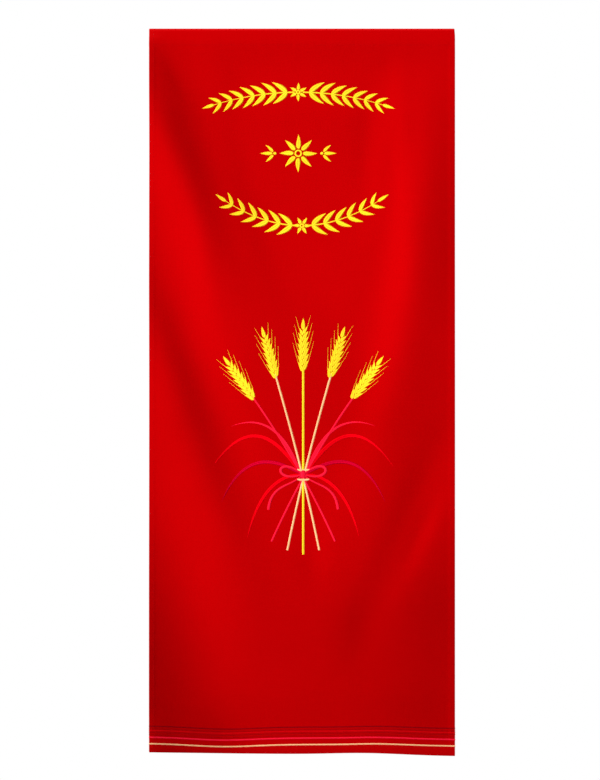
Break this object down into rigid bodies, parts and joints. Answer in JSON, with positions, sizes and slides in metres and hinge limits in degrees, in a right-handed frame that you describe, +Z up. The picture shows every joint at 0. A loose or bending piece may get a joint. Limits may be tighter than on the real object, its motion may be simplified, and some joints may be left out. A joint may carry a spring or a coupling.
{
  "type": "ambo cloth",
  "caption": "Long red hanging cloth for the front of a church reading stand, hemmed all round, with soft swags from its top corners.",
  "frame": {"origin": "middle of the cloth's top edge, where it is held", "axes": "+Z up along the cloth's length, +X to the right seen from the front, the front faces -Y"},
  "size_m": [0.5011, 0.0819, 1.1932],
  "materials": {
    "red_cloth": "smooth close weave with a soft low sheen",
    "yellow_thread": "bright yellow satin-stitched embroidery thread with a soft gloss",
    "cream_thread": "cream satin-stitched embroidery thread with a soft gloss",
    "pink_thread": "deep pink satin-stitched embroidery thread with a soft gloss",
    "red_thread": "bright red satin-stitched embroidery thread with a soft gloss",
    "crimson_thread": "crimson satin-stitched embroidery thread with a soft gloss",
    "scarlet_thread": "scarlet satin-stitched embroidery thread with a soft gloss",
    "deep_red_thread": "deep red satin-stitched embroidery thread with a soft gloss",
    "burgundy_thread": "dark burgundy satin-stitched embroidery thread with a soft gloss"
  },
  "bodies": {
    "root": {"cloth": "red_cloth"}
  },
  "joints": []
}
